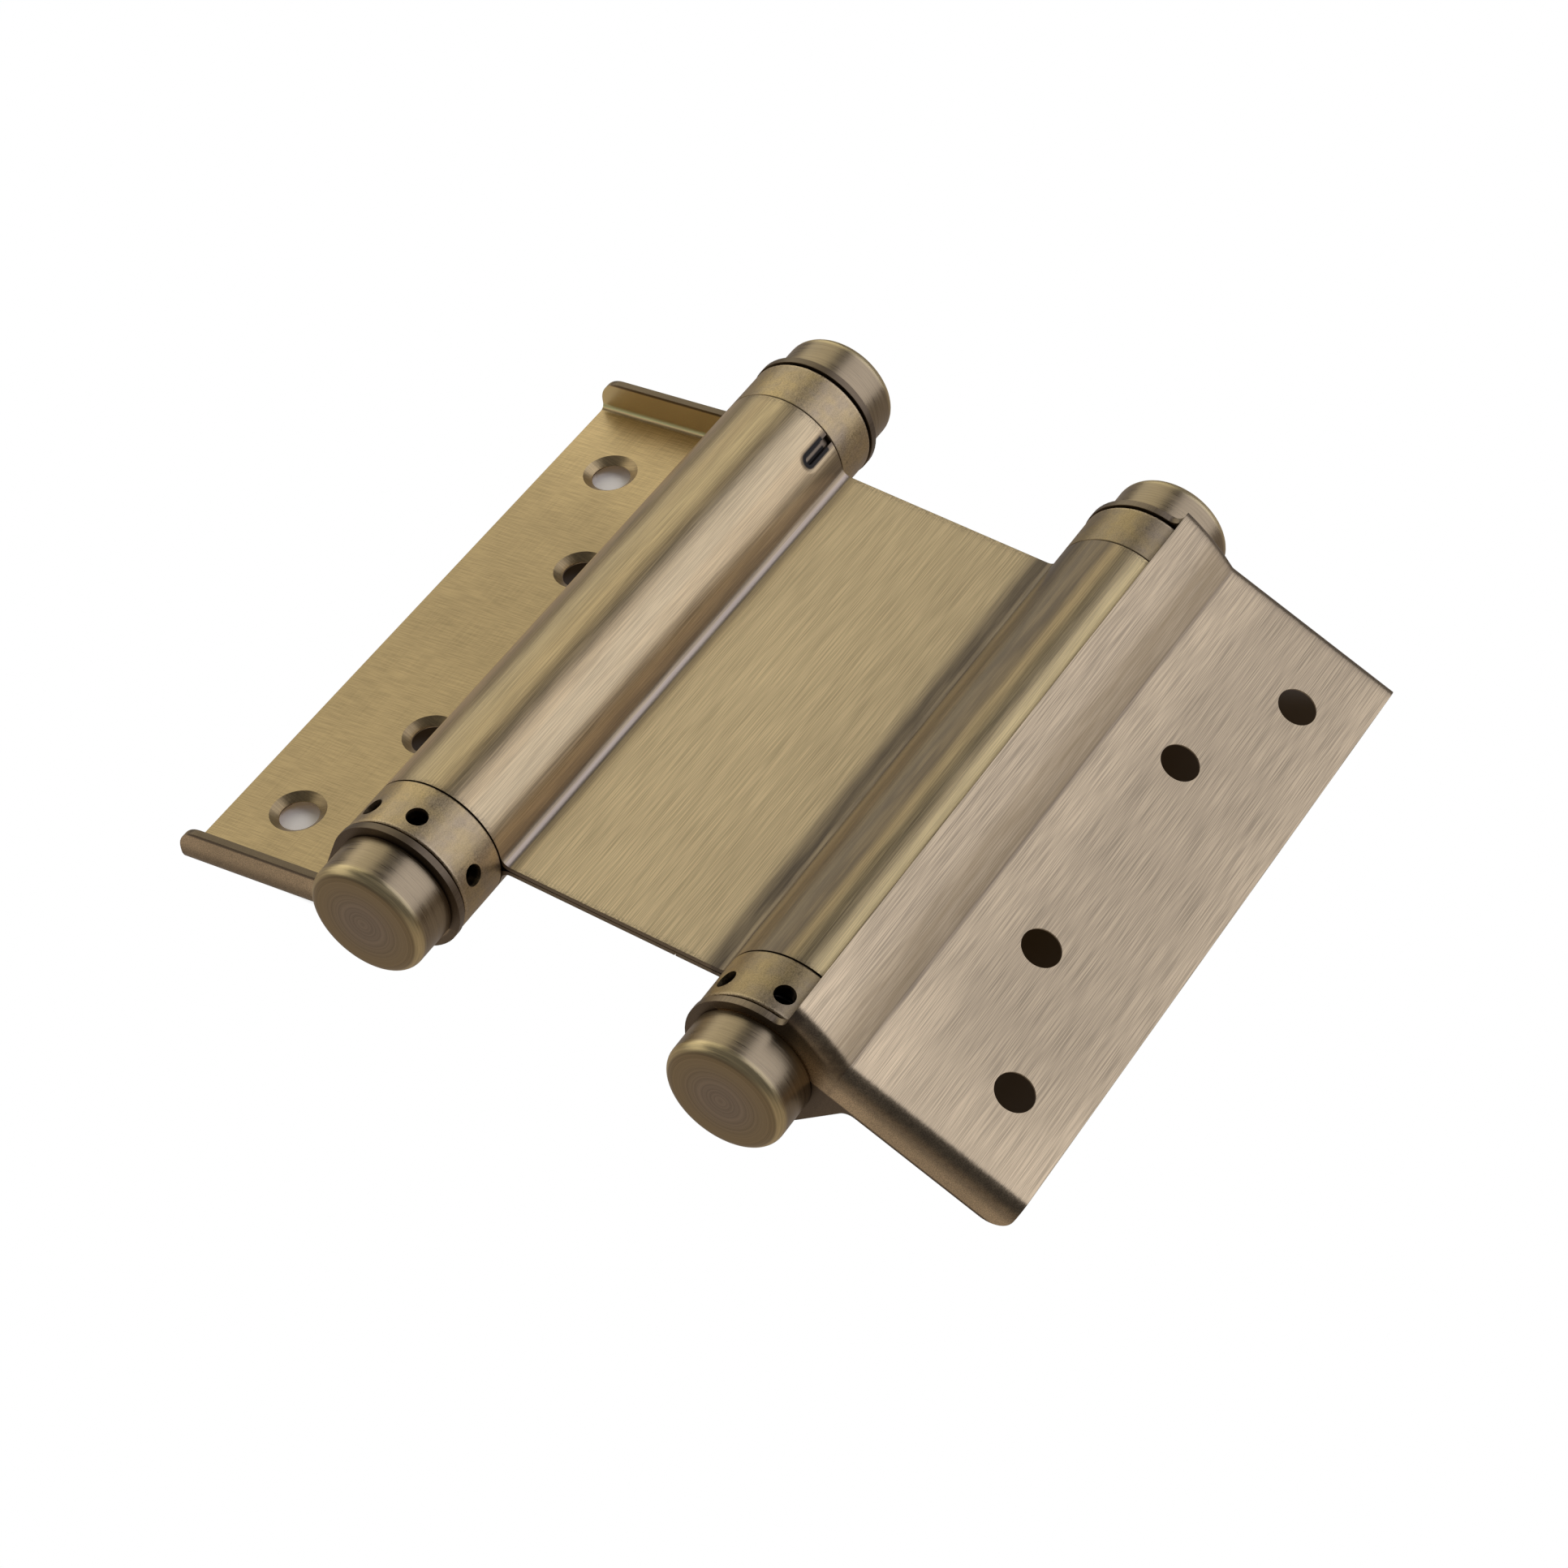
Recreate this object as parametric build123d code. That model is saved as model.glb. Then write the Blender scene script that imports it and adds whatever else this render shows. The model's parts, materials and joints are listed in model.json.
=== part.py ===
from build123d import *
from math import asin, atan2, cos, degrees, hypot, radians, sin, sqrt
import os

# Double action spring hinge for a cafe door, 4 inch size, all lengths in millimetres.
# It lies as it would on a table: the outer edge of leaf A and the lip corners of leaf B touch z = 0.
# X runs across the hinge from leaf A to leaf B, Y along the barrels, Z up.
# The origin is under the middle of the whole hinge.

# Overall sizes
leaf_length = 102.0
barrel_radius = 9.5
barrel_spacing = 52.2

# Centre leaf, one sheet bent round both springs
tube_wall = 0.7
layer_gap = 0.1
neck_radius = 1.6
seam_width = 0.1
seam_offset = 9.0

# Crimp that holds the fixed plug in the far end of each tube
crimp_angle = 41.0
crimp_length = 5.2
crimp_width = 1.2
crimp_depth = 0.8
crimp_wall = 0.5
crimp_clearance = 0.1

# Leaf, a pressed sheet with folded ends and an eye at each end
leaf_thickness = 1.1
leaf_reach = 36.4
leaf_back = 10.05
strip_edge_reach = 0.45
strip_edge_height = 13.3
strip_radius = 28.0
crease_reach = 9.75
crease_radius = 0.6
fold_radius = 2.0
lug_radius = 9.65
lug_neck_radius = 1.6
lip_height = 4.0
lip_corner_radius = 3.5
lip_slope = 63.5
lip_relief_radius = 2.0
eye_clearance = 0.05

# Screw holes of a leaf, countersunk on the side that faces the barrel
screw_hole_radius = 2.72
countersink_radius = 3.9
countersink_land = 0.2
outer_hole_pitch = 75.4
outer_hole_reach = 27.3
inner_hole_pitch = 36.6
inner_hole_reach = 19.45

# Spindle and the turned caps on its ends
spindle_radius = 3.0
spindle_end_chamfer = 0.4
cap_radius = 8.4
cap_height = 7.25
cap_edge_radius = 1.6
cap_base_chamfer = 0.2
cap_bore_depth = 5.0

# Collars at the two ends of each tube, their heads as long as the photo shows
tension_head_length = 8.1
plug_head_length = 7.3
collar_edge_radius = 0.25
washer_thickness = 0.3
washer_radius = 6.6
washer_clearance = 0.05
running_clearance = 0.05
tension_gap = 0.1
tension_spigot_length = 6.0
tension_spigot_clearance = 0.08
tension_spigot_wall = 1.12
tension_end_wall = 2.4
plug_spigot_length = 8.0
bar_hole_radius = 1.45
bar_hole_inset = 2.95
bar_hole_angles = (0.0, 45.0, 110.0, 164.0, 228.0)
bar_hole_start_a = 131.0
bar_hole_start_b = 243.0

# Bushes that line the bores of the collars
bush_wall = 1.2
bush_edge_chamfer = 0.2

# Torsion spring
wire_radius = 1.2
coil_pitch = 2.75
coil_end_gap = 0.3
spring_room = 0.3
tang_length = 1.6
tang_radius = 1.0
tang_angle = 10.0
tang_overlap = 0.8
tang_clearance = 0.1

# How the leaves lie, as turns about their barrels from level, pointing from leaf A towards leaf B
leaf_a_turn = 170.3
leaf_b_turn = 21.6

sheet_half = tube_wall + layer_gap / 2
tube_bore_radius = barrel_radius - tube_wall
lug_outer_y = leaf_length / 2
lug_inner_y = lug_outer_y - leaf_thickness
bush_bore_radius = spindle_radius + running_clearance
collar_bore_radius = bush_bore_radius + bush_wall
collar_near_y = -lug_inner_y + washer_thickness + washer_clearance
collar_far_y = lug_inner_y - washer_thickness - washer_clearance
tube_near_y = collar_near_y + tension_head_length + tension_gap
tube_far_y = collar_far_y - plug_head_length
spring_pocket_radius = tube_bore_radius - tension_spigot_clearance - tension_spigot_wall
coil_radius = spring_pocket_radius - spring_room - wire_radius
leaf_inside = leaf_back - leaf_thickness

# The crown of the strip is an arc about this centre, in the leaf's own frame
strip_start = (strip_edge_reach, strip_edge_height)
strip_end = (crease_reach, leaf_back)
strip_chord = hypot(strip_end[0] - strip_start[0], strip_end[1] - strip_start[1])
strip_drop = sqrt(strip_radius ** 2 - (strip_chord / 2) ** 2)
strip_centre = (
    (strip_start[0] + strip_end[0]) / 2 - strip_drop * (strip_start[1] - strip_end[1]) / strip_chord,
    (strip_start[1] + strip_end[1]) / 2 - strip_drop * (strip_end[0] - strip_start[0]) / strip_chord,
)


def along_y(sketch, y_from, y_to):
    """Extrude a sketch drawn as (x, z) from one y to another."""
    plane = Plane(origin=(0, y_to, 0), x_dir=(1, 0, 0), z_dir=(0, -1, 0))
    return extrude(plane * sketch, amount=y_to - y_from)


def rod(radius, y_from, y_to):
    """Solid cylinder about the Y axis between two y values."""
    return along_y(Circle(radius), y_from, y_to)


def radial(solid, angle):
    """Turn a solid that points along +X so that it points at an angle, from +X towards +Z."""
    return Rot(0, -angle, 0) * solid


def strip_point(reach, inset):
    """Height of the strip at a reach, on a surface this far under its outer one."""
    radius = strip_radius - inset
    return strip_centre[1] + sqrt(radius ** 2 - (reach - strip_centre[0]) ** 2)


def leaf_block(inset, left, right, bottom, half_length, edge_radius):
    """Block whose top is the leaf's outer surface or one parallel to it, with its end edges rounded."""
    plate_level = leaf_back - inset
    radius = strip_radius - inset
    bend_reach = strip_centre[0] + sqrt(radius ** 2 - (plate_level - strip_centre[1]) ** 2)
    first_reach = strip_edge_reach
    middle_reach = (first_reach + bend_reach) / 2
    first = (first_reach, strip_point(first_reach, inset))
    middle = (middle_reach, strip_point(middle_reach, inset))
    bend = (bend_reach, plate_level)
    slope = (strip_centre[0] - first[0]) / (first[1] - strip_centre[1])
    start = (left, first[1] + (left - first[0]) * slope)
    path = [ThreePointArc(first, middle, bend), Line(bend, (right, plate_level))]
    path.append(Line((right, plate_level), (right, bottom)))
    path.append(Line((right, bottom), (left, bottom)))
    path.append(Line((left, bottom), start))
    if left < first[0]:
        path.append(Line(start, first))
    face = make_face(path)
    corner = face.vertices().sort_by_distance((bend[0], bend[1], 0))[0]
    face = fillet(corner, crease_radius + inset)
    block = along_y(face, -half_length, half_length)
    ends = [
        edge
        for edge in block.edges()
        if abs(abs(edge.center().Y) - half_length) < 1e-3 and edge.center().Z > plate_level - 1e-3
    ]
    return fillet(ends, edge_radius)


def flange_outline():
    """Outline that the folded end of a leaf is cut to, from its top down to the lip's lower edge."""
    slope = radians(lip_slope)
    tangent = (lug_radius * sin(slope), -lug_radius * cos(slope))
    relief_reach = tangent[0] + (lip_height - tangent[1]) / (sin(slope) / cos(slope))
    top = strip_edge_height + leaf_thickness
    points = [
        (strip_edge_reach, top),
        (leaf_reach, top),
        (leaf_reach, lip_height),
        (relief_reach, lip_height),
        tangent,
        (strip_edge_reach, 0),
    ]
    face = make_face(Polyline(*points, close=True))
    corner = face.vertices().sort_by_distance((leaf_reach, lip_height, 0))[0]
    face = fillet(corner, lip_corner_radius)
    relief = face.vertices().sort_by_distance((relief_reach, lip_height, 0))[0]
    return fillet(relief, lip_relief_radius)


def lug_outline():
    """Eye of a leaf with the neck that joins it to the end of the strip."""
    neck_width = crease_reach - strip_edge_reach
    neck = Rectangle(neck_width, strip_edge_height)
    neck = Pos(strip_edge_reach + neck_width / 2, strip_edge_height / 2) * neck
    face = Circle(lug_radius) + neck
    meet = (strip_edge_reach, sqrt(lug_radius ** 2 - strip_edge_reach ** 2), 0)
    corner = face.vertices().sort_by_distance(meet)[0]
    face = fillet(corner, lug_neck_radius)
    return face


def screw_hole(reach, y):
    """Countersunk hole through the plate of a leaf, as the solid that is cut away."""
    top = leaf_back + leaf_thickness
    shank = Pos(reach, y, leaf_back) * Cylinder(screw_hole_radius, 4 * leaf_thickness)
    depth = leaf_thickness - countersink_land
    sink = Cone(countersink_radius, screw_hole_radius, depth)
    mouth = Cylinder(countersink_radius, top - leaf_back)
    sink = Pos(reach, y, leaf_inside + depth / 2) * sink
    mouth = Pos(reach, y, leaf_inside - (top - leaf_back) / 2) * mouth
    return shank + sink + mouth


def leaf():
    """Leaf in its own frame: its barrel lies on the Y axis and its plate reaches along +X at +Z."""
    floor = -lug_radius - leaf_thickness
    far = leaf_reach + leaf_thickness
    outside = leaf_block(0, strip_edge_reach, leaf_reach, floor, lug_outer_y, fold_radius)
    inside = leaf_block(
        leaf_thickness, floor, far, floor - leaf_thickness, lug_inner_y, fold_radius - leaf_thickness
    )
    body = (outside - inside) & along_y(flange_outline(), -lug_outer_y, lug_outer_y)
    lug = lug_outline()
    lugs = along_y(lug, -lug_outer_y, -lug_inner_y) + along_y(lug, lug_inner_y, lug_outer_y)
    past_strip = Pos(strip_edge_reach - leaf_reach / 2, 0, 0) * Box(leaf_reach, leaf_length, leaf_reach)
    body += lugs & (outside + past_strip)
    body -= rod(spindle_radius + eye_clearance, -leaf_length, leaf_length)
    for reach, pitch in ((outer_hole_reach, outer_hole_pitch), (inner_hole_reach, inner_hole_pitch)):
        for side in (-1, 1):
            body -= screw_hole(reach, side * pitch / 2)
    return body


def crimp(width, radius_from, radius_to, start_y, end_y):
    """Bar of a crimp along a tube, with its inner end round, pointing along +X."""
    height = radius_to - radius_from
    middle = (radius_from + radius_to) / 2
    bar = Pos(middle, (start_y + end_y) / 2, 0) * Box(height, end_y - start_y, width)
    tip = Pos(middle, start_y, 0) * Rot(0, 90, 0) * Cylinder(width / 2, height)
    return bar + tip


def dumbbell(radius, half, neck):
    """Section through both barrels and the plate between them, with rounded necks."""
    bar = Pos(barrel_spacing / 2, 0) * Rectangle(barrel_spacing, 2 * half)
    face = Circle(radius) + bar + Pos(barrel_spacing, 0) * Circle(radius)
    reach = sqrt(radius ** 2 - half ** 2)
    necks = [
        corner
        for corner in face.vertices()
        if min(abs(corner.X - reach), abs(corner.X - barrel_spacing + reach)) < 1e-3
    ]
    return fillet(necks, neck)


def centre_leaf():
    """Two tubes and the double plate between them, bent from one sheet with its seam below."""
    outside = dumbbell(barrel_radius, sheet_half, neck_radius)
    inside = dumbbell(tube_bore_radius, layer_gap / 2, neck_radius + tube_wall)
    body = along_y(outside - inside, tube_near_y, tube_far_y)
    seam = Box(seam_width, 2 * leaf_length, barrel_radius)
    body -= Pos(barrel_spacing / 2 + seam_offset, 0, -barrel_radius / 2) * seam
    start = tube_far_y - crimp_length
    width = crimp_width + 2 * crimp_wall
    floor = barrel_radius - crimp_depth
    for x, angle in ((0, crimp_angle), (barrel_spacing, crimp_angle + 180)):
        boss = crimp(width, floor - crimp_wall, tube_bore_radius + tube_wall / 2, start, tube_far_y)
        groove = crimp(crimp_width, floor, barrel_radius + crimp_depth, start, tube_far_y + crimp_depth)
        body += Pos(x, 0, 0) * radial(boss, angle)
        body -= Pos(x, 0, 0) * radial(groove, angle)
    return body


def tension_collar(start_angle):
    """Collar with tommy bar holes, its spigot turning in the near end of the tube."""
    head_end = tube_near_y - tension_gap
    head = rod(barrel_radius, collar_near_y, head_end)
    head = fillet(head.edges(), collar_edge_radius)
    spigot_end = head_end + tension_spigot_length
    body = head + rod(tube_bore_radius - tension_spigot_clearance, head_end - tube_wall, spigot_end)
    body -= rod(spring_pocket_radius, collar_near_y + tension_end_wall, spigot_end + tube_wall)
    body -= rod(collar_bore_radius, collar_near_y - tube_wall, spigot_end)
    hole = Pos(barrel_radius, 0, 0) * Rot(0, 90, 0) * Cylinder(bar_hole_radius, barrel_radius)
    for angle in bar_hole_angles:
        turned = Pos(0, collar_near_y + bar_hole_inset, 0) * radial(hole, start_angle - angle)
        body -= turned
    wall_left = tension_end_wall + coil_end_gap - tang_length - tang_clearance
    tang = rod(tang_radius + tang_clearance, collar_near_y + wall_left, spigot_end)
    return body - radial(Pos(coil_radius, 0, 0) * tang, -tang_angle)


def fixed_plug(angle):
    """Plug crimped in the far end of the tube, with a head that closes the barrel."""
    head = rod(barrel_radius, tube_far_y, collar_far_y)
    head = fillet(head.edges(), collar_edge_radius)
    spigot_start = tube_far_y - plug_spigot_length
    body = head + rod(tube_bore_radius, spigot_start, tube_far_y + tube_wall)
    body -= rod(spring_pocket_radius, spigot_start - tube_wall, tube_far_y)
    body -= rod(collar_bore_radius, spigot_start, collar_far_y + tube_wall)
    width = crimp_width + 2 * (crimp_wall + crimp_clearance)
    floor = barrel_radius - crimp_depth - crimp_wall - crimp_clearance
    start = tube_far_y - crimp_length
    slot = crimp(width, floor, barrel_radius, start, tube_far_y)
    body -= radial(slot, angle)
    tang_end = tube_far_y - coil_end_gap + tang_length + tang_clearance
    tang = rod(tang_radius + tang_clearance, spigot_start, tang_end)
    return body - radial(Pos(coil_radius, 0, 0) * tang, tang_angle)


def torsion_spring():
    """Close wound spring between the two end walls, with a straight tang at each end."""
    start_y = collar_near_y + tension_end_wall + coil_end_gap + wire_radius
    end_y = tube_far_y - coil_end_gap - wire_radius
    turns = max(1, int((end_y - start_y) / coil_pitch))
    path = Helix(pitch=(end_y - start_y) / turns, height=end_y - start_y, radius=coil_radius)
    section = Plane(origin=path @ 0, z_dir=path % 0) * Circle(wire_radius)
    coil = Pos(0, start_y, 0) * Rot(-90, 0, 0) * sweep(section, path=path, is_frenet=True)
    near_tip = start_y - wire_radius - tang_length
    far_tip = end_y + wire_radius + tang_length
    near_tang = Pos(coil_radius, 0, 0) * rod(tang_radius, near_tip, start_y + tang_overlap)
    far_tang = Pos(coil_radius, 0, 0) * rod(tang_radius, end_y - tang_overlap, far_tip)
    return coil + radial(near_tang, -tang_angle) + radial(far_tang, tang_angle)


def spindle():
    """Rod through the whole barrel, held in the caps at both ends."""
    reach = lug_outer_y + cap_bore_depth
    return chamfer(rod(spindle_radius, -reach, reach).edges(), spindle_end_chamfer)


def cap():
    """Turned cap on the far end of a spindle, with a blind bore for it."""
    top = lug_outer_y + cap_height
    body = rod(cap_radius, lug_outer_y, top)
    rims = body.edges().sort_by(Axis.Y)
    body = fillet(rims[-1], cap_edge_radius)
    body = chamfer(body.edges().sort_by(Axis.Y)[0], cap_base_chamfer)
    return body - rod(spindle_radius, lug_outer_y - cap_base_chamfer, lug_outer_y + cap_bore_depth)


def thrust_washer():
    """Thin ring between the far lug and the collar beside it."""
    ring = rod(washer_radius, lug_inner_y - washer_thickness, lug_inner_y)
    return ring - rod(bush_bore_radius, 0, lug_outer_y)


def bush(start_y, end_y):
    """Bush pressed in the bore of a collar, running on the spindle."""
    body = chamfer(rod(collar_bore_radius, start_y, end_y).edges(), bush_edge_chamfer)
    return body - rod(bush_bore_radius, start_y - bush_wall, end_y + bush_wall)


def lie_angle():
    """Slope of the line that touches leaf A's outer edge and the round lip corner of leaf B."""
    turn_a = radians(leaf_a_turn)
    edge = (
        leaf_reach * cos(turn_a) + leaf_back * sin(turn_a),
        leaf_back * cos(turn_a) - leaf_reach * sin(turn_a),
    )
    turn_b = radians(leaf_b_turn)
    corner_reach = leaf_reach - lip_corner_radius
    corner_height = lip_height + lip_corner_radius
    centre = (
        barrel_spacing + corner_reach * cos(turn_b) + corner_height * sin(turn_b),
        corner_height * cos(turn_b) - corner_reach * sin(turn_b),
    )
    span = hypot(centre[0] - edge[0], centre[1] - edge[1])
    rise = atan2(centre[1] - edge[1], centre[0] - edge[0])
    return degrees(rise - asin(lip_corner_radius / span))


far_cap = cap()
near_cap = Rot(180, 0, 0) * far_cap
far_washer = thrust_washer()
near_washer = Rot(180, 0, 0) * far_washer
tension_bush = bush(collar_near_y, collar_near_y + tension_end_wall)
plug_bush = bush(tube_far_y, collar_far_y)
at_a = Rot(0, leaf_a_turn, 0)
at_b = Pos(barrel_spacing, 0, 0) * Rot(0, leaf_b_turn, 0)

nodes = {"centre_leaf": centre_leaf()}
for letter, place, bar_hole_start, crimp_at in (
    ("a", at_a, bar_hole_start_a, crimp_angle),
    ("b", at_b, bar_hole_start_b, crimp_angle + 180),
):
    axis_x = place.position.X
    nodes[f"leaf_{letter}_plate"] = place * leaf()
    nodes[f"spindle_{letter}"] = place * spindle()
    nodes[f"cap_{letter}_near"] = place * near_cap
    nodes[f"cap_{letter}_far"] = place * far_cap
    nodes[f"thrust_washer_{letter}_near"] = place * near_washer
    nodes[f"thrust_washer_{letter}_far"] = place * far_washer
    nodes[f"tension_collar_{letter}"] = Pos(axis_x, 0, 0) * tension_collar(bar_hole_start)
    nodes[f"tension_bush_{letter}"] = Pos(axis_x, 0, 0) * tension_bush
    nodes[f"fixed_plug_{letter}"] = Pos(axis_x, 0, 0) * fixed_plug(crimp_at)
    nodes[f"plug_bush_{letter}"] = Pos(axis_x, 0, 0) * plug_bush
    nodes[f"torsion_spring_{letter}"] = Pos(axis_x, 0, 0) * torsion_spring()

laid = {name: Rot(0, lie_angle(), 0) * solid for name, solid in nodes.items()}
box = Compound(children=[Compound(solid.solids()) for solid in laid.values()]).bounding_box()
to_origin = Pos(-box.center().X, -box.center().Y, -box.min.Z)

os.makedirs("parts", exist_ok=True)
for name, solid in laid.items():
    export_step(to_origin * solid, f"parts/{name}.step")
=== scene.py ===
"""Looks of the double action cafe hinge: an antique bronze finish, brushed along the barrels."""

from __future__ import annotations

import json
import logging
from dataclasses import dataclass
from enum import Enum
from math import atan2, cos, degrees, radians, sin

import bpy
from mathutils import Matrix, Vector

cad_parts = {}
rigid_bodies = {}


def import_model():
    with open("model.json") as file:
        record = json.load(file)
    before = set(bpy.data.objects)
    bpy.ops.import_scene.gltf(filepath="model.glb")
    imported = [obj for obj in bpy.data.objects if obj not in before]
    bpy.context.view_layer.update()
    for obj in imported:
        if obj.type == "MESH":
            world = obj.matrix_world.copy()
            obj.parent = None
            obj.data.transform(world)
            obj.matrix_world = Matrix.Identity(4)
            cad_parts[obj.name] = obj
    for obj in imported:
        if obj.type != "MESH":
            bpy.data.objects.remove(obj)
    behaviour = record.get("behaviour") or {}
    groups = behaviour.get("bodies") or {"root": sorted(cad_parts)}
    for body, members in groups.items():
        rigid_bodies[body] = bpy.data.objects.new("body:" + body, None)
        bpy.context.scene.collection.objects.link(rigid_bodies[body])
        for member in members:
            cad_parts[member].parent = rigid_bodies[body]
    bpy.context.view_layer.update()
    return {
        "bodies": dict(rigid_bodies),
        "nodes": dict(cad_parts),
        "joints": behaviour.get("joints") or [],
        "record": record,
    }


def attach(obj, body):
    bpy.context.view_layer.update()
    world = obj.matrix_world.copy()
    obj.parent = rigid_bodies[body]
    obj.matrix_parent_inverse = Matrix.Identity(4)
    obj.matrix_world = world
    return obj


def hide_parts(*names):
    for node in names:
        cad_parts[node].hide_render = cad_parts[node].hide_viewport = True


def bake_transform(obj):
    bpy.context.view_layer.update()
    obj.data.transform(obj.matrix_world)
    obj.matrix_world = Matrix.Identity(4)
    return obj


log = logging.getLogger("cafe hinge")

Colour = tuple[float, float, float, float]
Triple = tuple[float, float, float]

MM = 0.001
BARREL_RADIUS = 9.5

# A lamp of one square metre with a radiance of 1 takes this many watts
LAMP_WATTS = 4.0

# What a surface along Y mirrors to the camera: the part along Y, and the part across it
MIRROR_ALONG = 0.581
MIRROR_ACROSS = 0.814


class Side(Enum):
    """The two leaves and their barrels."""

    A = "a"
    B = "b"


class End(Enum):
    """The two ends of a barrel."""

    NEAR = "near"
    FAR = "far"


@dataclass(frozen=True, kw_only=True)
class Metal:
    """One finish.

    Attributes:
        name: The material's name.
        colour: The metal's colour.
        patina: The colour of its dark places.
        roughness: Its roughness.
        coat: Weight of its clear lacquer.
    """

    name: str
    colour: Colour
    patina: Colour
    roughness: float
    coat: float = 0.0


@dataclass(frozen=True, kw_only=True)
class SheetMetal(Metal):
    """The centre leaf's finish.

    Attributes:
        band: The colour of broad bands along the barrels.
        gold: The golden tint painted on tube B beside the strip, where the right lamp's highlight falls.
        plate: The colour of the plate between the tubes.
        line: The painted highlight, a pale line in the bend beside tube A.
        groove_shade: The near-black painted shade in the crimps' grooves.
    """

    band: Colour
    gold: Colour
    plate: Colour
    line: Colour
    groove_shade: Colour


@dataclass(frozen=True, kw_only=True)
class LeafMetal(Metal):
    """A swinging leaf's finish.

    Attributes:
        inside: The colour of the side that faces the barrel, its own cross-hatched finish with a golden tint that is
            partly painted light.
        valley: The painted shade in the valley along the strip.
    """

    inside: Colour
    valley: Colour


@dataclass(frozen=True, kw_only=True)
class CapMetal(Metal):
    """A cap's finish, whose colour is that of its side.

    Attributes:
        rim: The colour of the rim, rubbed metal with a painted highlight.
        face: The colour of the face.
        centre: The colour in the middle of the face.
    """

    rim: Colour
    face: Colour
    centre: Colour


@dataclass(frozen=True, kw_only=True)
class CollarMetal(Metal):
    """A collar's finish.

    Attributes:
        cloud: The colour of its greyer clouds.
        rubbed: The colour where its chamfer is rubbed.
    """

    cloud: Colour
    rubbed: Colour


SHEET = SheetMetal(
    name="bronzed sheet",
    colour=(0.442, 0.328, 0.184, 1),
    band=(0.430, 0.330, 0.192, 1),
    gold=(0.455, 0.350, 0.160, 1),
    plate=(0.562, 0.436, 0.267, 1),
    line=(0.380, 0.315, 0.285, 1),
    patina=(0.082, 0.063, 0.052, 1),
    groove_shade=(0.010, 0.009, 0.008, 1),
    roughness=0.34,
    coat=0.15,
)
LEAF = LeafMetal(
    name="bronzed leaf",
    colour=(0.335, 0.258, 0.162, 1),
    inside=(0.360, 0.265, 0.138, 1),
    valley=(0.205, 0.146, 0.075, 1),
    patina=(0.092, 0.067, 0.047, 1),
    roughness=0.36,
    coat=0.15,
)
CAP = CapMetal(
    name="bronzed cap",
    colour=(0.285, 0.218, 0.134, 1),
    rim=(0.70, 0.56, 0.30, 1),
    face=(0.355, 0.268, 0.150, 1),
    centre=(0.325, 0.258, 0.200, 1),
    patina=(0.13, 0.09, 0.05, 1),
    roughness=0.33,
    coat=0.1,
)
COLLAR = CollarMetal(
    name="bronzed collar",
    colour=(0.400, 0.298, 0.155, 1),
    cloud=(0.330, 0.255, 0.165, 1),
    rubbed=(0.60, 0.47, 0.30, 1),
    patina=(0.10, 0.07, 0.04, 1),
    roughness=0.42,
)
ROD = Metal(name="bright rod", colour=(0.55, 0.54, 0.52, 1), patina=(0.25, 0.24, 0.22, 1), roughness=0.25)
WASHER = Metal(name="dark washer", colour=(0.10, 0.09, 0.08, 1), patina=(0.03, 0.026, 0.022, 1), roughness=0.45)
BUSH = Metal(name="turned bush", colour=(0.62, 0.36, 0.20, 1), patina=(0.30, 0.15, 0.07, 1), roughness=0.3)
WIRE = Metal(name="spring wire", colour=(0.17, 0.17, 0.18, 1), patina=(0.05, 0.045, 0.04, 1), roughness=0.35)

# How light the grain of each barrel's collars is, which the photo shows lighter on barrel A
# Painted light and shade: barrel A's collars painted lighter, barrel B's darker.
COLLAR_PAINTED_LIGHT = {Side.A: 1.10, Side.B: 0.82}


@dataclass(frozen=True)
class Place:
    """A barrel's axis in metres, and the turn in radians of what is painted about it."""

    axis: Triple
    turn: float = 0.0


@dataclass(frozen=True)
class Wear:
    """How the sharp edges of a pressed sheet are rounded, in millimetres and degrees.

    Attributes:
        flat: Angle up to which two facets count as one flat.
        merge: Distance up to which two corners count as one.
        width: Width of the rounding.
        segments: Number of facets across it.
        sharp: Angle from which an edge is rounded.
        smooth: Angle up to which the shading is smooth.
    """

    flat: float
    merge: float = 0.05
    width: float = 0.08
    segments: int = 2
    sharp: float = 50.0
    smooth: float = 32.0


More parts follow.
